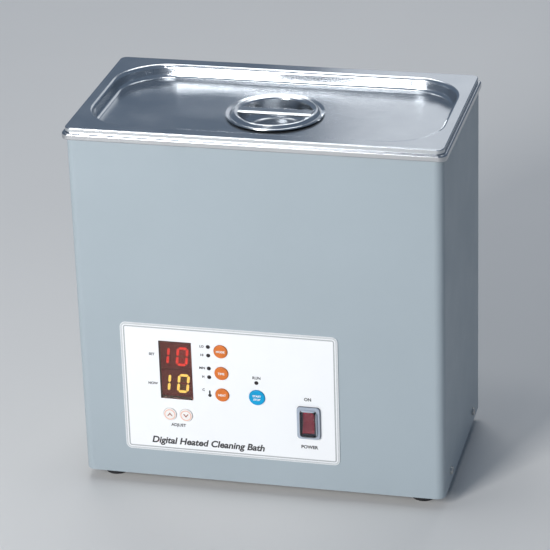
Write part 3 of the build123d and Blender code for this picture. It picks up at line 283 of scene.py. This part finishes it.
MATERIALS = {
    "stainless_steel": steel("stainless_rim", (0.54, 0.55, 0.565), 0.19, (0.04, 1.0, 1.0)),
    "stainless_lid": steel("stainless_lid", (0.60, 0.625, 0.65), 0.2, (0.04, 1.0, 1.0)),
    "painted_steel": powder_coat(),
    "zinc_sheet": steel("zinc_sheet", (0.42, 0.43, 0.44), 0.38, (0.08, 1.0, 1.0)),
    "steel_screw": steel("steel_screw", (0.58, 0.57, 0.55), 0.28, (1.0, 1.0, 1.0)),
    "black_foam": mottled("black_foam", (0.02, 0.02, 0.02), 0.9, 0.3, 400.0, 2500.0, 0.0002, 0.6).material,
    "rubber_foot": mottled("rubber_foot", (0.016, 0.016, 0.018), 0.75, 0.2, 200.0, 1600.0).material,
    "panel_white": mottled("panel_white", (0.86, 0.865, 0.87), 0.38, 0.008, 30.0, 2600.0, 0.00001, 0.2).material,
    "window_red": tinted_glass("window_red", (0.88, 0.58, 0.52), 0.05, 0.96, 1.25),
    "display_black": mottled("display_black", (0.095, 0.014, 0.012), 0.5, 0.08, 200.0).material,
    "circuit_board": board_green(),
    "black_plastic": mottled("black_plastic", (0.014, 0.014, 0.016), 0.5, 0.15).material,
    "lamp_dark": mottled("lamp_dark", (0.02, 0.014, 0.016), 0.25, 0.1, 300.0).material,
    "key_orange": mottled("key_orange", (0.66, 0.175, 0.035), 0.34, 0.08, 160.0, 1800.0).set(Specular_IOR_Level=0.25).material,
    "key_blue": mottled("key_blue", (0.006, 0.31, 0.58), 0.32, 0.08, 160.0, 1800.0).set(Specular_IOR_Level=0.2).material,
    "key_white": mottled("key_white", (0.84, 0.80, 0.77), 0.36, 0.02, 160.0, 1800.0).material,
    "switch_navy": mottled("switch_navy", (0.015, 0.024, 0.05), 0.42, 0.15, 200.0).material,
    "rocker_red": mottled("rocker_red", (0.27, 0.010, 0.028), 0.26, 0.15, 200.0).material,
    "clear_cover": splash_cover(),
    "aluminium": steel("aluminium", (0.72, 0.72, 0.73), 0.34, (1.0, 1.0, 0.08)),
    "piezo_ceramic": mottled("piezo_ceramic", (0.17, 0.15, 0.12), 0.62, 0.12, 200.0).material,
    "brass": steel("brass", (0.66, 0.46, 0.19), 0.3, (1.0, 1.0, 0.1)),
    "steel_mass": steel("steel_mass", (0.36, 0.36, 0.37), 0.34, (1.0, 1.0, 0.06)),
    "silicone_orange": mottled("silicone_orange", (0.5, 0.12, 0.04), 0.6, 0.12, 200.0).material,
    "ferrite": mottled("ferrite", (0.045, 0.045, 0.048), 0.6, 0.2, 200.0).material,
    "capacitor_sleeve": mottled("capacitor_sleeve", (0.02, 0.03, 0.08), 0.3, 0.1, 200.0).material,
    "inlet_black": mottled("inlet_black", (0.013, 0.013, 0.014), 0.45, 0.15, 200.0, 1400.0).material,
    "fuse_glass": tinted_glass("fuse_glass", (0.85, 0.87, 0.87), 0.05, 0.9),
    "brass_drain": steel("brass_drain", (0.60, 0.55, 0.45), 0.26, (1.0, 0.1, 1.0)),
    "lever_red": mottled("lever_red", (0.5, 0.022, 0.02), 0.35, 0.1, 150.0, 900.0).material,
}
PRINT_DARK = mottled("print_dark", (0.03, 0.028, 0.03), 0.55, 0.15, 300.0).material
# Painted highlight and painted shade for the overlay's edge: a pale band and a grey line coloured like light and
# shade on a bevel.
PAINTED_BEVEL_SHADE = mottled("painted_bevel_shade", (0.42, 0.43, 0.435), 0.5, 0.05, 300.0).material
PAINTED_BEVEL_HIGHLIGHT = mottled("painted_bevel_highlight", (0.57, 0.585, 0.59), 0.45, 0.04, 300.0).material
PRINT_WHITE = mottled("print_white", (0.85, 0.84, 0.82), 0.5, 0.04, 300.0).material
PRINT_BROWN = mottled("print_brown", (0.33, 0.09, 0.05), 0.5, 0.1, 300.0).material
PRINT_PEACH = mottled("print_peach", (0.80, 0.42, 0.30), 0.5, 0.06, 300.0).material
LIT_RED = glowing("lit_red", (0.75, 0.05, 0.03), 0.42)
LIT_LIME = glowing("lit_lime", (0.80, 0.92, 0.20), 1.0)
# Painted glow: non-emissive patches coloured like light from the lit digits spilling onto the module face.
GLOW_RED = mottled("glow_red", (0.22, 0.016, 0.012), 0.5, 0.1, 300.0).material
GLOW_LIME = mottled("glow_lime", (0.10, 0.085, 0.008), 0.5, 0.1, 300.0).material
UNLIT = mottled("unlit_segment", (0.16, 0.04, 0.02), 0.45, 0.1, 300.0).material


# Nodes cut from sheet or moulded with square edges, and how far each edge is broken
EDGE_BREAKS = {
    "casing_wrap": 0.25,
    "rear_panel": 0.2,
    "base_plate": 0.2,
    "panel_overlay": 0.2,
    "display_window": 0.15,
    "power_switch_body": 0.25,
    "mains_inlet": 0.2,
    "fuse_drawer": 0.15,
    "fan_frame": 0.3,
    "fan_guard": 0.3,
    "drain_nut": 0.3,
    "drain_valve_body": 0.4,
    "drain_plug": 0.3,
    "drain_lever": 0.4,
    "drain_fitting": 0.2,
    "generator_heatsink": 0.15,
    "power_transistors": 0.25,
    "output_transformer": 0.3,
    "lid_grip_bar": 0.2,
}


def break_edges(piece, width):
    """Rounds a node's square edges by a modifier; its own mesh stays as imported."""
    bevel = piece.modifiers.new("edge_break", "BEVEL")
    bevel.width = width * MM
    bevel.segments = 2
    bevel.limit_method = "ANGLE"
    bevel.angle_limit = math.radians(40)
    bevel.harden_normals = False


def dress_nodes():
    """Gives every CAD node its material, and breaks the square edges of the listed ones."""
    for row in frame["record"]["subparts"]:
        piece = nodes[row["node"]]
        piece.data.materials.clear()
        piece.data.materials.append(MATERIALS[row["material_slot"]])
    for name, width in EDGE_BREAKS.items():
        break_edges(nodes[name], width)


dress_nodes()


# ---------------------------------------------------------------- pieces made here
def finish_piece(mesh, name, body, material):
    """Turns a bmesh into a shown piece that rides on a body."""
    data = bpy.data.meshes.new(name)
    mesh.normal_update()
    mesh.to_mesh(data)
    mesh.free()
    piece = bpy.data.objects.new(name, data)
    bpy.context.scene.collection.objects.link(piece)
    piece.data.materials.append(material)
    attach(piece, body)
    return piece


def rounded_outline(width, height, radius, steps=8):
    """Points round a rectangle with rounded corners, centred on the origin."""
    points = []
    for corner, (sx, sz) in enumerate(((1, 1), (-1, 1), (-1, -1), (1, -1))):
        for step in range(steps + 1):
            angle = math.radians(90 * corner + 90 * step / steps)
            points.append((
                sx * (width / 2 - radius) + radius * math.cos(angle),
                sz * (height / 2 - radius) + radius * math.sin(angle),
            ))
    return points


def circle_outline(radius, steps=40):
    """Points round a circle."""
    return [(radius * math.cos(2 * math.pi * i / steps), radius * math.sin(2 * math.pi * i / steps)) for i in range(steps)]


def add_plate(mesh, outline, x, z, y_back, y_front):
    """A flat plate facing the user, from y_back forward to y_front."""
    front = [mesh.verts.new((x + px, y_front, z + pz)) for px, pz in outline]
    rear = [mesh.verts.new((x + px, y_back, z + pz)) for px, pz in outline]
    mesh.faces.new(front)
    mesh.faces.new(rear[::-1])
    for i in range(len(outline)):
        j = (i + 1) % len(outline)
        mesh.faces.new((front[j], front[i], rear[i], rear[j]))


def add_band(mesh, outer, inner, x, z, y_back, y_front):
    """A flat closed band between two outlines with the same number of points."""
    rings = []
    for outline, y in ((outer, y_front), (inner, y_front), (inner, y_back), (outer, y_back)):
        rings.append([mesh.verts.new((x + px, y, z + pz)) for px, pz in outline])
    count = len(outer)
    for i in range(count):
        j = (i + 1) % count
        for a, b in ((0, 1), (1, 2), (2, 3), (3, 0)):
            mesh.faces.new((rings[a][i], rings[a][j], rings[b][j], rings[b][i]))


PRINT = 0.00005


def print_label(
    name, text, x, z, size, y=None, material=PRINT_DARK, shear=0.0, body="cabinet",
    bold=0.0, rear=False,
):
    """Thin printed lettering centred on (x, z), facing the user or, with `rear`, the back."""
    y = panel_y if y is None else y
    curve = bpy.data.curves.new(name, "FONT")
    curve.body = text
    curve.size = size
    curve.align_x = "CENTER"
    curve.align_y = "CENTER"
    curve.shear = shear
    curve.offset = bold
    curve.extrude = PRINT / 2
    curve.resolution_u = 6
    text_object = bpy.data.objects.new(name, curve)
    bpy.context.scene.collection.objects.link(text_object)
    bpy.context.view_layer.update()
    data = bpy.data.meshes.new_from_object(text_object.evaluated_get(bpy.context.evaluated_depsgraph_get()))
    bpy.data.objects.remove(text_object)
    lift = PRINT / 2 if rear else -PRINT / 2
    facing = Matrix.Rotation(math.pi if rear else 0.0, 4, "Z") @ Matrix.Rotation(math.pi / 2, 4, "X")
    data.transform(Matrix.Translation((x, y + lift, z)) @ facing)
    data.materials.clear()
    data.materials.append(material)
    piece = bpy.data.objects.new(name, data)
    bpy.context.scene.collection.objects.link(piece)
    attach(piece, body)
    return piece


# ---------------------------------------------------------------- printed panel, with painted bevel highlight and shade round its edge
def key_centre(node):
    """The middle of a key or lamp, in the panel's plane."""
    low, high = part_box(node)
    return (low.x + high.x) / 2, (low.z + high.z) / 2


def panel_frame():
    """Painted highlight and painted shade round the overlay's edge, coloured like light on a bevel: a pale band at
    the edge and a grey line inside it.
    """
    x = (panel_low.x + panel_high.x) / 2
    z = (panel_low.z + panel_high.z) / 2
    width = panel_high.x - panel_low.x
    height = panel_high.z - panel_low.z
    # Painted bevel highlight, then painted bevel shade, as flat coloured bands.
    for name, inset, thickness, material in (
        ("panel_painted_bevel_highlight", 0.3 * MM, 1.6 * MM, PAINTED_BEVEL_HIGHLIGHT),
        ("panel_painted_bevel_shade", 2.7 * MM, 1.2 * MM, PAINTED_BEVEL_SHADE),
    ):
        mesh = bmesh.new()
        outer = rounded_outline(width - 2 * inset, height - 2 * inset, 5.0 * MM - inset)
        inner_inset = inset + thickness
        inner = rounded_outline(width - 2 * inner_inset, height - 2 * inner_inset, max(0.5 * MM, 5.0 * MM - inner_inset))
        add_band(mesh, outer, inner, x, z, panel_y, panel_y - PRINT)
        finish_piece(mesh, name, "cabinet", material)


def add_triangle(mesh, x, z, size, y, up):
    """A chevron arrow head facing the user."""
    sign = 1 if up else -1
    outline = [(-0.5, -0.28), (0.0, 0.36), (0.5, -0.28), (0.28, -0.28), (0.0, 0.06), (-0.28, -0.28)]
    points = [(px * size, pz * size * sign) for px, pz in outline]
    if not up:
        points.reverse()
    add_plate(mesh, points, x, z, y, y - PRINT)


def key_prints():
    """Legends and rings on the keycaps; each rides with its key."""
    for node, word in (("key_mode", "MODE"), ("key_time", "TIME"), ("key_heat", "HEAT")):
        x, z = key_centre(node)
        print_label(f"{node}_legend", word, x, z, 2.7 * MM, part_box(node)[0].y, PRINT_WHITE, 0.0, node, 0.00008)
    x, z = key_centre("key_start")
    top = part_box("key_start")[0].y
    print_label("key_start_legend", "START", x, z + 1.5 * MM, 2.5 * MM, top, PRINT_WHITE, 0.0, "key_start", 0.00008)
    print_label("key_stop_legend", "STOP", x, z - 1.7 * MM, 2.5 * MM, top, PRINT_WHITE, 0.0, "key_start", 0.00008)
    for node, up in (("key_up", True), ("key_down", False)):
        x, z = key_centre(node)
        low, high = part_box(node)
        cap = (high.x - low.x) / 2 - 1.9 * MM
        mesh = bmesh.new()
        add_band(mesh, circle_outline(cap), circle_outline(cap - 0.75 * MM), x, z, low.y, low.y - PRINT)
        finish_piece(mesh, f"{node}_ring", node, PRINT_PEACH)
        mesh = bmesh.new()
        add_triangle(mesh, x, z, 5.0 * MM, low.y, up)
        finish_piece(mesh, f"{node}_arrow", node, PRINT_BROWN)


def panel_labels():
    """Generic words beside the lamps, display, keys and switch."""
    window_x = (window_low.x + window_high.x) / 2
    lamp_x = key_centre("key_mode")[0] - 11.0 * MM
    words = {
        "label_set": ("SET", window_low.x - 6.5 * MM, window_high.z - 13.3 * MM, 2.6),
        "label_now": ("NOW", window_low.x - 6.5 * MM, window_low.z + 13.7 * MM, 2.6),
        "label_low": ("LO", lamp_x - 5.6 * MM, 138.7 * MM, 2.4),
        "label_high": ("HI", lamp_x - 5.6 * MM, 130.6 * MM, 2.4),
        "label_minutes": ("MIN", lamp_x - 5.9 * MM, 118.3 * MM, 2.4),
        "label_hours": ("H", lamp_x - 5.2 * MM, 110.0 * MM, 2.4),
        "label_degrees": ("C", lamp_x - 5.4 * MM, 97.5 * MM, 2.6),
        "label_run": ("RUN", key_centre("key_start")[0], 112.6 * MM, 2.9),
        "label_adjust": ("ADJUST", (key_centre("key_up")[0] + key_centre("key_down")[0]) / 2, 61.3 * MM, 3.1),
    }
    for name, (text, x, z, size) in words.items():
        print_label(name, text, x, z, 1.22 * size * MM, bold=0.00012)
    switch_low, switch_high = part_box("power_switch_body")
    switch_x = (switch_low.x + switch_high.x) / 2
    print_label("label_on", "ON", switch_x - 0.6 * MM, switch_high.z + 6.6 * MM, 4.0 * MM, bold=0.00014)
    print_label("label_power", "POWER", switch_x, switch_low.z - 8.9 * MM, 4.2 * MM, bold=0.00016)
    title_x = (panel_low.x + 11.0 * MM + 15.0 * MM) / 2
    print_label("label_title", "Digital Heated Cleaning Bath", title_x, 45.3 * MM, 8.6 * MM, shear=0.22, bold=0.00026)


def thermometer_print():
    """The little thermometer beside the heating key."""
    x, z = key_centre("key_mode")[0] - 11.0 * MM, 92.6 * MM
    mesh = bmesh.new()
    add_plate(mesh, circle_outline(1.5 * MM, 24), x, z, panel_y, panel_y - PRINT)
    stem = [(px, pz + 2.6 * MM) for px, pz in rounded_outline(1.4 * MM, 4.4 * MM, 0.65 * MM, 4)]
    add_plate(mesh, stem, x, z, panel_y, panel_y - PRINT)
    finish_piece(mesh, "thermometer_print", "cabinet", PRINT_DARK)


SEGMENTS = {
    "a": ((-0.5, 1.0), (0.5, 1.0)),
    "b": ((0.5, 1.0), (0.5, 0.0)),
    "c": ((0.5, 0.0), (0.5, -1.0)),
    "d": ((-0.5, -1.0), (0.5, -1.0)),
    "e": ((-0.5, 0.0), (-0.5, -1.0)),
    "f": ((-0.5, 1.0), (-0.5, 0.0)),
    "g": ((-0.5, 0.0), (0.5, 0.0)),
}
DIGITS = {"1": "bc", "0": "abcdef"}


def add_segment(mesh, ends, x, z, width, height, thick, slant, y):
    """One six-sided segment between two corners of a digit."""
    (ax, az), (bx, bz) = ends
    start = Vector((ax * width, az * height / 2))
    end = Vector((bx * width, bz * height / 2))
    along = (end - start).normalized()
    across = Vector((-along.y, along.x)) * thick / 2
    gap = along * 0.28 * MM
    tip = along * thick / 2
    start, end = start + gap, end - gap
    outline = [start, start + tip - across, end - tip - across, end, end - tip + across, start + tip + across]
    add_plate(mesh, [(p.x + p.y * slant, p.y) for p in outline], x, z, y + 0.3 * MM, y)


def display_digits():
    """A leading 1 and a seven-segment digit on each module, lit red above and lime below."""
    for node, material, glow_material in (
        ("display_module_upper", LIT_RED, GLOW_RED),
        ("display_module_lower", LIT_LIME, GLOW_LIME),
    ):
        low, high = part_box(node)
        face_y = low.y
        middle_z = (low.z + high.z) / 2
        lit = bmesh.new()
        unlit = bmesh.new()
        for digit, offset in (("1", -10.9 * MM), ("0", 5.6 * MM)):
            x = (low.x + high.x) / 2 + offset
            for name, ends in SEGMENTS.items():
                if digit == "1" and name not in DIGITS["1"]:
                    continue
                mesh = lit if name in DIGITS[digit] else unlit
                add_segment(mesh, ends, x, middle_z, 8.2 * MM, 15.6 * MM, 2.3 * MM, 0.12, face_y - 0.04 * MM)
        row = node.split("_")[-1]
        # Painted glow round the lit digit: a plain coloured patch, not a lamp.
        glow = bmesh.new()
        patch = [(px + pz * 0.12, pz) for px, pz in rounded_outline(6.6 * MM, 14.0 * MM, 0.8 * MM, 4)]
        add_plate(glow, patch, (low.x + high.x) / 2 + 5.6 * MM, middle_z, face_y + 0.1 * MM, face_y - 0.02 * MM)
        finish_piece(glow, f"digit_glow_{row}", "cabinet", glow_material)
        finish_piece(lit, f"lit_digits_{row}", "cabinet", material)
        finish_piece(unlit, f"unlit_segments_{row}", "cabinet", UNLIT)


panel_frame()
key_prints()
panel_labels()
thermometer_print()
display_digits()


# ---------------------------------------------------------------- rear, lid and tank detail
def rear_labels():
    """Generic words beside the fittings at the back."""
    rear_y = rear_high.y
    valve_low, valve_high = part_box("drain_valve_body")
    inlet_low, inlet_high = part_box("mains_inlet")
    valve_x = (valve_low.x + valve_high.x) / 2
    inlet_x = (inlet_low.x + inlet_high.x) / 2
    words = {
        "label_drain": ("DRAIN", valve_x, valve_low.z - 9.0 * MM),
        "label_fuse": ("FUSE", inlet_x, inlet_high.z + 5.0 * MM),
        "label_mains": ("AC IN", inlet_x, inlet_low.z - 6.0 * MM),
    }
    for name, (text, x, z) in words.items():
        print_label(name, text, x, z, 5.0 * MM, rear_y, PRINT_DARK, bold=0.00004, rear=True)


def grip_welds():
    """Spot welds where the grip bar's ends meet the cup's lip."""
    low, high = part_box("lid_grip_bar")
    middle = (low + high) / 2
    for side, name in ((-1, "grip_weld_left"), (1, "grip_weld_right")):
        mesh = bmesh.new()
        bmesh.ops.create_icosphere(mesh, subdivisions=3, radius=1.0)
        for vertex in mesh.verts:
            ripple = 1.0 + 0.08 * math.sin(9.0 * vertex.co.y) * math.cos(7.0 * vertex.co.x)
            vertex.co = Vector((vertex.co.x * 1.3, vertex.co.y * 4.4 * ripple, vertex.co.z * 0.8)) * MM
        end = Vector((high.x if side > 0 else low.x, middle.y, low.z + 1.0 * MM))
        bmesh.ops.translate(mesh, verts=mesh.verts, vec=end)
        for face in mesh.faces:
            face.smooth = True
        finish_piece(mesh, name, "lid", MATERIALS["stainless_lid"])


def level_line():
    """The fill line etched round the tank's inner wall."""
    width = 303.0 * MM
    depth = 152.0 * MM
    height = tank_low.z + 101.0 * MM
    middle = (tank_low + tank_high) / 2
    outline = rounded_outline(width - PRINT, depth - PRINT, 46.0 * MM, 20)
    inner = rounded_outline(width - 3 * PRINT, depth - 3 * PRINT, 46.0 * MM, 20)
    mesh = bmesh.new()
    rings = []
    for points, z in ((outline, height), (inner, height), (inner, height + 0.7 * MM), (outline, height + 0.7 * MM)):
        rings.append([mesh.verts.new((middle.x + px, middle.y + py, z)) for px, py in points])
    for i in range(len(outline)):
        j = (i + 1) % len(outline)
        for a, b in ((0, 1), (1, 2), (2, 3), (3, 0)):
            mesh.faces.new((rings[a][i], rings[a][j], rings[b][j], rings[b][i]))
    bmesh.ops.recalc_face_normals(mesh, faces=mesh.faces)
    finish_piece(mesh, "tank_level_line", "cabinet", PRINT_DARK)


rear_labels()
grip_welds()
level_line()


# ---------------------------------------------------------------- floor and light
def make_light(name, place, aim, size, power):
    """A soft rectangular light, unseen by the camera itself."""
    data = bpy.data.lights.new(name, "AREA")
    data.shape = "RECTANGLE"
    data.size, data.size_y = size
    data.energy = power
    light = bpy.data.objects.new(name, data)
    along = Vector(aim) - Vector(place)
    light.matrix_world = Matrix.Translation(place) @ along.to_track_quat("-Z", "Y").to_matrix().to_4x4()
    light.visible_camera = False
    bpy.context.scene.collection.objects.link(light)


def make_stage():
    """A plain pale floor, a cool dim surround and soft boxes in front, behind and overhead."""
    mesh = bmesh.new()
    bmesh.ops.create_grid(mesh, x_segments=2, y_segments=2, size=8.0)
    data = bpy.data.meshes.new("floor")
    mesh.to_mesh(data)
    mesh.free()
    floor = bpy.data.objects.new("floor", data)
    bpy.context.scene.collection.objects.link(floor)
    floor.data.materials.append(mottled("floor_paper", (0.70, 0.69, 0.67), 0.85, 0.01, 3.0, 500.0).material)
    world = bpy.data.worlds.new("world")
    world.use_nodes = True
    background = world.node_tree.nodes["Background"]
    background.inputs["Color"].default_value = (0.50, 0.66, 0.90, 1.0)
    background.inputs["Strength"].default_value = 0.27
    bpy.context.scene.world = world
    bpy.context.scene.view_settings.view_transform = "Standard"
    make_light("front_left", (-0.86, -2.1, 1.0), case_middle, (0.68, 0.9), 47.0)
    make_light("front_spot", (-0.26, -2.1, 0.8), case_middle, (0.09, 0.2), 2.2)
    make_light("behind", (0.02, 1.2, 0.8), case_middle, (0.5, 0.45), 0.5)
    make_light("floor_wash", (-0.5, 1.9, 3.3), (-0.5, 1.7, 0.0), (2.2, 1.4), 42.0)
    make_light("overhead", (-0.25, -0.2, 1.7), case_middle, (0.3, 0.3), 2.0)


make_stage()
